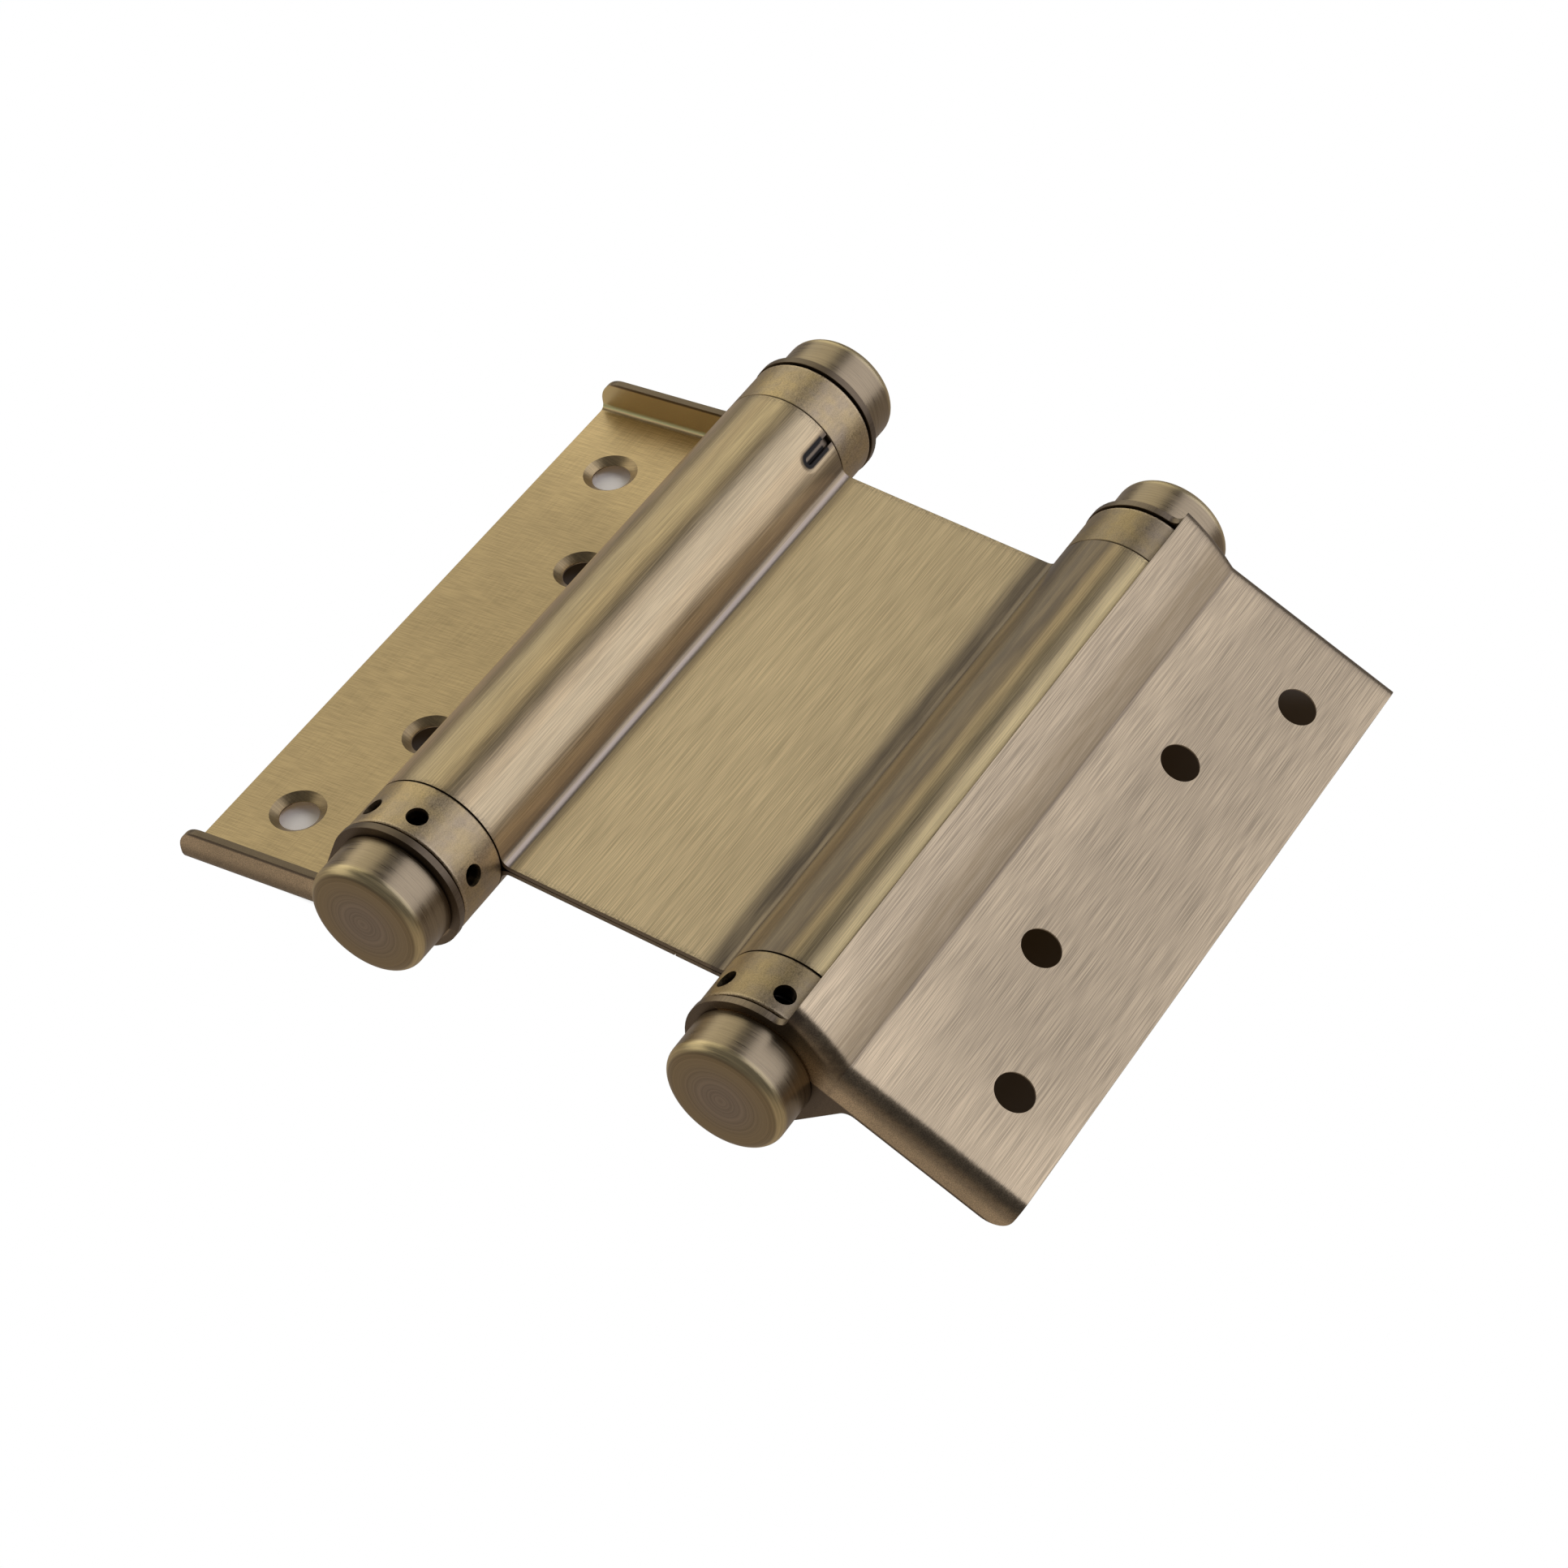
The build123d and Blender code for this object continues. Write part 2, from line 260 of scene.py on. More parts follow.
class Wire:
    """A number that runs from one node to the next; its operators add Math nodes."""

    def __init__(self, graph: Graph, socket: bpy.types.NodeSocket) -> None:
        """Wrap a socket.

        Args:
            graph: The nodes that the socket is in.
            socket: The output socket that carries the number.
        """
        self.graph = graph
        self.socket = socket

    def __add__(self, other: Wire | float) -> Wire:
        """Sum."""
        return self.graph.maths("ADD", self, other)

    def __radd__(self, other: float) -> Wire:
        """Sum with a number on the left."""
        return self.graph.maths("ADD", other, self)

    def __sub__(self, other: Wire | float) -> Wire:
        """Difference."""
        return self.graph.maths("SUBTRACT", self, other)

    def __rsub__(self, other: float) -> Wire:
        """Difference from a number."""
        return self.graph.maths("SUBTRACT", other, self)

    def __mul__(self, other: Wire | float) -> Wire:
        """Product."""
        return self.graph.maths("MULTIPLY", self, other)

    def __rmul__(self, other: float) -> Wire:
        """Product with a number on the left."""
        return self.graph.maths("MULTIPLY", other, self)

    def __abs__(self) -> Wire:
        """Size without its sign."""
        return self.graph.maths("ABSOLUTE", self)

    def __or__(self, other: Wire | float) -> Wire:
        """The larger of two."""
        return self.graph.maths("MAXIMUM", self, other)

    def hypot(self, other: Wire) -> Wire:
        """Length of the line that goes this far one way and the other number the other way."""
        return self.graph.maths("SQRT", self * self + other * other)

    def angle(self, across: Wire) -> Wire:
        """Angle in degrees of the line that rises by this number over the other."""
        return self.graph.maths("ARCTAN2", self, across) * degrees(1.0)

    def rise(self, low: float, high: float) -> Wire:
        """Mask that goes smoothly from 0 at low to 1 at high.

        Args:
            low: Value up to which the mask is 0.
            high: Value from which the mask is 1.

        Returns:
            The mask.
        """
        node = self.graph.node(
            "ShaderNodeMapRange",
            {"interpolation_type": "SMOOTHSTEP"},
            {"Value": self, "From Min": low, "From Max": high},
        )
        return Wire(self.graph, node.outputs["Result"])

    def fall(self, low: float, high: float) -> Wire:
        """Mask that goes smoothly from 1 at low to 0 at high."""
        return 1.0 - self.rise(low, high)

    def near(self, centre: float, inner: float, outer: float) -> Wire:
        """Mask that is 1 within a distance of a value and falls to 0 further away.

        Args:
            centre: Value in the middle of the mask.
            inner: Distance up to which the mask is 1.
            outer: Distance from which it is 0.

        Returns:
            The mask.
        """
        return abs(self - centre).fall(inner, outer)

    def crisp(self, low: float) -> Wire:
        """Noise of 0 to 1 with more contrast, 0 up to low and 1 from as far below 1."""
        return self.rise(low, 1.0 - low)

    def swing(self, amount: float) -> Wire:
        """Noise of 0 to 1 as a swing about 0, as wide as the amount."""
        return (self - 0.5) * amount


class Graph:
    """A node tree that Python expressions add to."""

    def __init__(self, tree: bpy.types.NodeTree) -> None:
        """Start with an empty tree.

        Args:
            tree: The tree.
        """
        self.tree = tree
        self.tree.nodes.clear()

    def node(
        self,
        kind: str,
        settings: dict[str, object] | None = None,
        inputs: dict[str | int, object] | None = None,
    ) -> bpy.types.Node:
        """Add a node.

        Args:
            kind: The node's type.
            settings: Its settings, which come first. A ramp's stops are pairs of a place and a colour.
            inputs: Values or links of its sockets.

        Returns:
            The node.
        """
        made = self.tree.nodes.new(kind)
        for name, value in (settings or {}).items():
            if name == "stops":
                for stop, (place, colour) in zip(made.color_ramp.elements, value):
                    stop.position, stop.color = place, colour
            else:
                setattr(made, name, value)
        for name, value in (inputs or {}).items():
            if isinstance(value, Wire):
                value = value.socket
            if isinstance(value, bpy.types.NodeSocket):
                self.tree.links.new(value, made.inputs[name])
            else:
                made.inputs[name].default_value = value
        return made

    def maths(self, operation: str, *terms: Wire | float) -> Wire:
        """Add a Math node.

        Args:
            operation: The node's operation.
            terms: Its inputs in order.

        Returns:
            The node's result.
        """
        node = self.node("ShaderNodeMath", {"operation": operation}, dict(enumerate(terms)))
        return Wire(self, node.outputs[0])

    def parts(self, vector: bpy.types.NodeSocket) -> tuple[Wire, Wire, Wire]:
        """The three numbers of a vector."""
        first, second, third = self.node("ShaderNodeSeparateXYZ", None, {0: vector}).outputs
        return Wire(self, first), Wire(self, second), Wire(self, third)


class Paint(Graph):
    """One node material, laid out in millimetres in a barrel's frame.

    Reach is the distance across the barrel, along is the place along it, height is the distance from its axis
    on the third direction, and radius is the distance from the axis in all. The facing numbers are the surface's
    normal on the same three directions.
    """

    def __init__(self, name: str, place: Place) -> None:
        """Start a material.

        Args:
            name: The material's name.
            place: The frame that its pattern lies in.
        """
        self.material = bpy.data.materials.new(name)
        self.material.use_nodes = True
        super().__init__(self.material.node_tree)
        coords = self.node("ShaderNodeTexCoord")
        mapping = self.node(
            "ShaderNodeMapping",
            {"vector_type": "TEXTURE"},
            {
                "Vector": coords.outputs["Object"],
                "Location": place.axis,
                "Rotation": (0, place.turn, 0),
                "Scale": (MM, MM, MM),
            },
        )
        facing = self.node(
            "ShaderNodeMapping",
            {"vector_type": "TEXTURE"},
            {"Vector": coords.outputs["Normal"], "Rotation": (0, place.turn, 0)},
        )
        self.spot = mapping.outputs[0]
        self.reach, self.along, self.height = self.parts(mapping.outputs[0])
        self.facing_reach, self.facing_along, self.facing_height = self.parts(facing.outputs[0])
        self.radius = self.reach.hypot(self.height)

    def noise(
        self,
        grain: Triple,
        detail: float = 2.0,
        shift: float = 0.0,
        vector: bpy.types.NodeSocket | None = None,
    ) -> Wire:
        """Noise of about 0 to 1, stretched along the three directions.

        Args:
            grain: Size of the noise in millimetres across, along and through the piece.
            detail: Octaves of the noise.
            shift: Moves the pattern, so that two noises differ.
            vector: Where it is read, instead of the place on the piece.

        Returns:
            The noise.
        """
        scaled = self.node(
            "ShaderNodeVectorMath",
            {"operation": "MULTIPLY_ADD"},
            {0: vector or self.spot, 1: tuple(1.0 / size for size in grain), 2: (shift, shift * 0.7, shift * 1.3)},
        )
        noise = self.node(
            "ShaderNodeTexNoise",
            {"noise_dimensions": "3D"},
            {"Vector": scaled.outputs[0], "Scale": 1.0, "Detail": detail, "Roughness": 0.55},
        )
        return Wire(self, noise.outputs[0])

    def mix(self, factor: Wire | float, low: object, high: object) -> bpy.types.NodeSocket:
        """Mix two colours.

        Args:
            factor: 0 for the first, 1 for the second.
            low: The first colour, or the socket that carries it.
            high: The second.

        Returns:
            The socket of the mixed colour.
        """
        node = self.node("ShaderNodeMix", {"data_type": "RGBA"}, {0: factor, 6: low, 7: high})
        return node.outputs[2]

    def scale(self, colour: object, amount: Wire) -> bpy.types.NodeSocket:
        """A colour made lighter or darker.

        Args:
            colour: The socket that carries the colour.
            amount: What it is multiplied by.

        Returns:
            The socket of the result.
        """
        node = self.node("ShaderNodeVectorMath", {"operation": "SCALE"}, {0: colour, "Scale": amount})
        return node.outputs[0]

    def finish(self, metal: Metal, colour: object, roughness: Wire, relief: Wire) -> bpy.types.Material:
        """Join the colour, gloss and relief to the shader.

        Args:
            metal: The finish.
            colour: Socket of its colour.
            roughness: Its roughness.
            relief: Height of its relief, in millimetres.

        Returns:
            The finished material.
        """
        bump = self.node("ShaderNodeBump", None, {"Strength": 1.0, "Distance": MM, "Height": relief})
        shader = self.node(
            "ShaderNodeBsdfPrincipled",
            None,
            {
                "Base Color": colour,
                "Roughness": roughness,
                "Metallic": 1.0,
                "Coat Weight": metal.coat,
                "Coat Roughness": 0.3,
                "Normal": bump.outputs[0],
            },
        )
        self.node("ShaderNodeOutputMaterial", None, {0: shader.outputs[0]})
        return self.material


class SheetPaint(Paint):
    """The centre leaf's material: brushed, with patina and painted shade in its bends, painted light and shade on
    the tubes, and patina at its cut ends.
    """

    def __init__(self, leaf: CentreLeaf) -> None:
        """Lay out what its patterns share.

        Args:
            leaf: The centre leaf, for its sizes.
        """
        super().__init__(SHEET.name, leaf.place)
        self.leaf = leaf
        self.flank_b = leaf.spacing - leaf.radius
        self.across_b = self.reach - leaf.spacing
        self.on_b = self.reach.rise(self.flank_b - 1.2, self.flank_b + 0.2)
        self.on_a = 1.0 - self.on_b
        self.over_a = self.height.angle(self.reach)
        self.over_b = self.height.angle(self.across_b)
        self.low = abs(self.height).fall(2.0, 5.0)
        self.fine = self.noise((0.11, 9.0, 0.11))
        self.broad = self.noise((0.45, 18.0, 0.45), 2.0, 3.0)
        self.patch = self.noise((0.8, 10.0, 0.8), 2.0, 17.0).crisp(0.25)

    def brushed(self) -> bpy.types.NodeSocket:
        """The brushed metal, with painted light and shade: tube A lighter on its outer side and darker near its top,
        tube B darker from its top towards the plate, and golden on tube B beside the strip as a painted highlight
        tint.

        Returns:
            The socket of its colour.
        """
        bands = self.noise((3.2, 90.0, 3.2), 1.0, 7.0)
        cloud = self.noise((9.0, 14.0, 9.0), 2.0, 11.0)
        plate = self.reach.rise(self.leaf.radius + 0.4, self.leaf.radius + 3.4) * self.on_a
        outer_a = self.on_a * (self.over_a.rise(122.0, 138.0) | self.over_a.fall(-100.0, -90.0))
        top_a = self.on_a * self.over_a.near(110.0, 6.0, 18.0)
        tone = 1.0 + self.fine.crisp(0.34).swing(0.40) + self.broad.crisp(0.3).swing(0.05) + cloud.swing(0.16)
        # Painted shade: tube B darker from its top towards the plate.
        tone = tone * (1.0 - self.on_b * self.over_b.rise(68.0, 88.0) * 0.16)
        # Painted light and shade: tube A lighter on its outer side, as a painted reflection, and darker near its
        # top.
        tone = tone * (1.0 + outer_a * 0.38 - top_a * 0.20)
        tone = tone * (1.0 - plate * self.along * 0.0026)
        colour = self.mix(bands.crisp(0.35), SHEET.colour, SHEET.band)
        # Painted highlight tint: golden where the right lamp's highlight falls on tube B beside the strip.
        colour = self.mix(self.on_b * self.over_b.fall(66.0, 92.0) * 0.8, colour, SHEET.gold)
        return self.scale(self.mix(plate, colour, SHEET.plate), tone)

    def bends(self) -> Wire:
        """Patina and painted shade in the bends beside the plate, and painted shade on tube B from its top towards
        the plate.

        Returns:
            Its mask.
        """
        flank = self.leaf.radius
        # Patina and painted shade, in bands, in the bend beside tube A and in the bend beside tube B.
        crease_a = self.reach.near(flank - 0.25, 0.30, 1.0) * 0.62 | self.reach.near(flank + 1.5, 0.25, 1.0) * 0.32
        crease_a = crease_a | self.reach.near(flank + 0.5, 0.3, 2.2) * 0.2
        bend_a = crease_a * self.low * (0.7 + self.patch * 0.3)
        bend_b = self.reach.near(self.flank_b - 0.3, 1.6, 4.4) * self.low * (0.70 + self.patch * 0.22)
        # Painted shade on tube B from its top towards the plate.
        shade = 0.44 + self.over_b.near(108.0, 6.0, 18.0) * 0.20 + self.patch * 0.22
        return bend_a | bend_b | self.over_b.rise(92.0, 103.0) * self.on_b * shade

    def ends(self) -> Wire:
        """Patina at the tubes' ends and on the cut edges, and painted shade inside the tubes.

        Returns:
            Its mask.
        """
        leaf = self.leaf
        end = self.along.rise(leaf.far_end - 1.6, leaf.far_end)
        end = end | self.along.fall(leaf.near_end, leaf.near_end + 1.2)
        specks = self.noise((0.3, 0.3, 0.3), 2.0, 21.0)
        rim = end * specks.rise(0.35, 0.7) * 0.45
        cut = abs(self.facing_along).rise(0.5, 0.9) * 0.7
        # Painted shade inside the tubes.
        bore_a = self.radius.fall(leaf.radius - 0.5, leaf.radius - 0.3)
        bore_b = self.across_b.hypot(self.height).fall(leaf.radius - 0.5, leaf.radius - 0.3)
        return rim | cut | (bore_a | bore_b) * 0.7

    def crimp(self) -> tuple[Wire, Wire, Wire]:
        """The dish that the punch leaves round each crimp.

        Returns:
            The dish's depth, from 0 to 1, the painted shade round it, and the near-black painted shade in its
            groove.
        """
        leaf = self.leaf
        turn = radians(leaf.crimp_angle)
        across = self.reach - self.on_b * leaf.spacing
        mirror = 1.0 - self.on_b * 2.0
        out = (across * cos(turn) + self.height * sin(turn)) * mirror
        around = (self.height * cos(turn) - across * sin(turn)) * mirror
        before = (leaf.far_end - leaf.crimp_length - self.along) | 0.0
        gap = around.hypot(before)
        outside = out.rise(leaf.radius - 2.0, leaf.radius - 1.0)
        groove = gap.near(0.70, 0.36, 0.62) * outside * self.along.fall(leaf.far_end - 1.3, leaf.far_end - 0.9)
        # Painted shade round each dish, and near black in its groove.
        return gap.fall(0.4, 1.9) * outside, gap.fall(0.75, 1.7) * outside * 0.8, groove * 0.96

    def whole(self) -> bpy.types.Material:
        """Lay the patina, the painted shade and the painted highlight line over the brushed metal.

        Returns:
            The material.
        """
        dish, sink, groove_shade = self.crimp()
        dark = self.bends() | self.ends() | sink
        # Painted highlight: a pale line in the bend beside tube A.
        line = self.reach.near(self.leaf.radius + 0.75, 0.15, 0.55) * self.low * 0.6
        colour = self.mix(line, self.brushed(), SHEET.line)
        colour = self.mix(dark, colour, SHEET.patina)
        colour = self.mix(groove_shade, colour, SHEET.groove_shade)
        rough = SHEET.roughness + self.fine.swing(0.18) + dark * 0.05
        relief = self.fine * 0.004 + self.broad * 0.004 - dish * 0.30
        return self.finish(SHEET, colour, rough, relief)


class LeafPaint(Paint):
    """A leaf's material: brushed, with painted shade at its folds and in the valley along the strip, and golden on
    the side that faces the barrel, partly as painted light.
    """

    def __init__(self, leaf: SwingLeaf) -> None:
        """Lay out what its patterns share.

        Args:
            leaf: The leaf, for its sizes.
        """
        super().__init__(f"{LEAF.name} {leaf.side.value}", leaf.place)
        self.leaf = leaf
        self.level = abs(self.along)
        self.outside = self.facing_height.rise(-0.2, 0.3)
        self.inside = self.facing_height.fall(-0.5, -0.2)
        self.strip = self.reach.fall(leaf.crease - 0.2, leaf.crease)
        lip = (self.along * self.facing_along).fall(-42.0, -24.0) * self.level.rise(leaf.end - 3.0, leaf.end - 2.0)
        self.lip_inside = lip * self.reach.rise(9.0, 11.0)
        self.streaks = self.noise((0.11, 9.0, 0.11), 2.0, 2.0)
        self.broad = self.noise((0.45, 15.0, 0.45), 2.0, 4.0)
        self.hatch = self.noise((4.0, 0.17, 4.0), 2.0, 6.0)
        self.patch = self.noise((0.7, 9.0, 0.7), 2.0, 13.0).crisp(0.25)
        self.fine = self.streaks.crisp(0.34) - 0.5

    def brushed(self) -> bpy.types.NodeSocket:
        """The brushed metal: marks along the leaf, and marks across it on the barrel's side, which painted light
        makes lighter towards the far end and on the lips' inner faces.

        Returns:
            The socket of its colour.
        """
        cloud = self.noise((8.0, 12.0, 8.0), 2.0, 9.0)
        rubbed = self.reach.near(self.leaf.crease + 2.6, 1.2, 4.5) * 0.16
        rubbed = rubbed + self.reach.near(self.leaf.edge - 0.8, 0.8, 5.0) * 0.10
        rubbed = rubbed * (1.0 - self.strip) + self.strip * 0.08
        tone = 1.0 + self.fine * 0.60 + self.broad.crisp(0.3).swing(0.06) + cloud.swing(0.12)
        tone = tone * (1.0 + self.along.fall(-48.0, -28.0) * 0.26)
        tone = tone * (1.0 - self.inside) * (1.0 + rubbed)
        crossed = 1.0 + self.fine * 0.18 + self.hatch.crisp(0.36).swing(0.24) + cloud.swing(0.30)
        # Painted light: the side that faces the barrel lighter towards the far end.
        crossed = crossed * (1.0 + self.along.rise(22.0, 46.0) * 0.32)
        crossed = crossed * self.inside * (1.0 - self.lip_inside * 0.1)
        colour = self.mix(self.inside | self.lip_inside, LEAF.colour, LEAF.inside)
        # Painted light: the lips' inner faces much lighter.
        return self.scale(colour, tone + crossed + self.lip_inside * 2.4)

    def folds(self) -> tuple[Wire, Wire]:
        """The folded ends, by the depth below the leaf's back.

        Returns:
            The painted shade on their bends, and the mask of their lower part, which gets painted light.
        """
        leaf = self.leaf
        depth = leaf.back + ((leaf.crease - self.reach) | 0.0) * leaf.strip_slope - self.height
        bend = self.level.rise(leaf.end - 2.4, leaf.end - 0.7) * (1.0 - self.inside) * (1.0 - self.lip_inside)
        # Painted shade on the folds' bends, and on the outside at the far end.
        fold = bend * depth.fall(0.9, 3.6) * (0.36 + self.patch * 0.22)
        fold = fold | self.along.rise(leaf.end - 3.0, leaf.end - 1.1) * self.outside * 0.4
        return fold, bend * depth.rise(2.2, 4.2)

    def edges(self) -> Wire:
        """Patina along the crease, round the eyes, on the cut edges and along the lips' brims.

        Returns:
            Its mask.
        """
        end = self.leaf.end
        line = self.reach.near(self.leaf.crease, 0.06, 0.4) * self.outside * 0.45
        eye = self.radius.rise(8.2, 8.8) * self.level.rise(end - 1.3, end - 1.05) * self.reach.fall(1.0, 4.0) * 0.8
        cut = abs(self.facing_reach).rise(0.75, 0.95) * self.level.fall(end - 3.0, end - 1.5) * 0.6
        brim = self.height.fall(4.25, 4.65) * self.level.rise(end - 1.7, end - 1.3) * 0.85
        return line | eye | cut | brim

    def whole(self) -> bpy.types.Material:
        """Lay the painted light and shade, the tints and the patina over the brushed metal.

        Returns:
            The material.
        """
        fold, lower = self.folds()
        dark = fold | self.edges()
        # Painted shade in the valley along the strip.
        valley = self.reach.near(7.9, 0.9, 4.0) * self.strip * self.outside * (0.34 + self.patch * 0.36)
        # Painted light: the lower part of each fold lighter.
        colour = self.scale(self.brushed(), 1.0 + lower * 0.45)
        colour = self.mix(valley, colour, LEAF.valley)
        colour = self.mix(dark, colour, LEAF.patina)
        rough = LEAF.roughness + self.fine * 0.08 + dark * 0.06 + self.inside * 0.04
        relief = self.streaks * 0.005 + self.broad * 0.004 + self.hatch * self.inside * 0.004
        return self.finish(LEAF, colour, rough, relief)


def turned_steel(metal: Metal, place: Place, grain: float = 0.05) -> bpy.types.Material:
    """Metal with fine turning marks, for the pieces inside the barrels.

    Args:
        metal: The finish.
        place: The barrel's frame.
        grain: Width of the marks in millimetres.

    Returns:
        The material.
    """
    paint = Paint(metal.name, place)
    marks = paint.noise((2.0, grain, 2.0))
    cloud = paint.noise((3.0, 6.0, 3.0), 3.0, 5.0)
    colour = paint.mix(cloud.rise(0.35, 0.75), metal.colour, metal.patina)
    colour = paint.scale(colour, 1.0 + marks.swing(0.5))
    return paint.finish(metal, colour, metal.roughness + cloud.swing(0.2), marks * 0.006)


def only(piece: bpy.types.Object) -> None:
    """Select one object alone and make it the active one."""
    bpy.ops.object.select_all(action="DESELECT")
    piece.select_set(True)
    bpy.context.view_layer.objects.active = piece


def dress(piece: bpy.types.Object, material: bpy.types.Material) -> None:
    """Give a piece one material all over."""
    piece.data.materials.clear()
    piece.data.materials.append(material)


def copy_of(source: bpy.types.Object, name: str) -> bpy.types.Object:
    """Copy a CAD node, with a mesh of its own."""
    piece = bpy.data.objects.new(name, source.data.copy())
    bpy.context.scene.collection.objects.link(piece)
    return piece


def round_edges(piece: bpy.types.Object, wear: Wear) -> None:
    """Round a piece's sharp edges, as tumbling and plating leave them, and smooth it between them.

    Args:
        piece: A copy of a CAD node.
        wear: The rounding.
    """
    only(piece)
    bpy.ops.mesh.customdata_custom_splitnormals_clear()
    bpy.ops.object.mode_set(mode="EDIT")
    bpy.ops.mesh.select_all(action="SELECT")
    bpy.ops.mesh.remove_doubles(threshold=wear.merge * MM)
    bpy.ops.mesh.select_all(action="SELECT")
    bpy.ops.mesh.dissolve_limited(angle_limit=radians(wear.flat))
    bpy.ops.object.mode_set(mode="OBJECT")
    rounding = piece.modifiers.new("rounding", "BEVEL")
    rounding.width = wear.width * MM
    rounding.segments = wear.segments
    rounding.limit_method = "ANGLE"
    rounding.angle_limit = radians(wear.sharp)
    rounding.use_clamp_overlap = False
    rounding.miter_outer = "MITER_SHARP"
    bpy.ops.object.modifier_apply(modifier=rounding.name)
    bpy.ops.object.shade_smooth_by_angle(angle=radians(wear.smooth))
    facing = piece.modifiers.new("facing", "WEIGHTED_NORMAL")
    facing.keep_sharp = True
    bpy.ops.object.modifier_apply(modifier=facing.name)


def worn_sheet(frame: dict, node: str, body: str, wear: Wear, material: bpy.types.Material) -> None:
    """Put a copy with rounded edges in the place of a pressed sheet's CAD node.

    Args:
        node: The CAD node's name.
        body: The body that it moves with.
        wear: The rounding of its edges.
        material: Its material.
    """
    piece = copy_of(frame["nodes"][node], f"{node}_worn")
    round_edges(piece, wear)
    dress(piece, material)
    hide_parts(node)
    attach(piece, body)
    log.info("%s: %d faces", piece.name, len(piece.data.polygons))


@dataclass
class CentreLeaf:
    """The sheet that is bent round both springs, with its sizes in millimetres.

    Attributes:
        place: Barrel A's axis, turned to the plate between the tubes.
        spacing: Distance between the barrels' axes.
        radius: Radius of a tube.
        near_end: Where the tubes begin, along Y.
        far_end: Where they end.
        crimp_angle: Angle of each crimp above the plate, in degrees.
        crimp_length: Length of its groove.
    """

    frame: dict
    place: Place
    spacing: float
    radius: float = BARREL_RADIUS
    near_end: float = -41.35
    far_end: float = 42.25
    crimp_angle: float = 41.0
    crimp_length: float = 5.2

    def build(self) -> None:
        """Make and dress the centre leaf."""
        worn_sheet(self.frame, "centre_leaf", "centre", Wear(2.0), SheetPaint(self).whole())


@dataclass
class SwingLeaf:
    """A pressed leaf with an angled strip, folded ends and an eye at each end, with its sizes in millimetres.

    Attributes:
        side: Which of the two it is.
        place: Its barrel's axis, turned to the leaf.
        crease: Where the angled strip meets the plate, across from the axis.
        edge: Where the plate ends, across from the axis.
        back: Height of the plate's back above the axis.
        end: Distance from the middle to the outside of a folded end.
        strip_slope: Rise of the strip over its width.
    """

    frame: dict
    side: Side
    place: Place
    crease: float = 9.75
    edge: float = 36.4
    back: float = 10.05
    end: float = 51.0
    strip_slope: float = 0.35

    def build(self) -> None:
        """Make and dress the leaf."""
        body = f"leaf_{self.side.value}"
        worn_sheet(self.frame, f"{body}_plate", body, Wear(0.5), LeafPaint(self).whole())


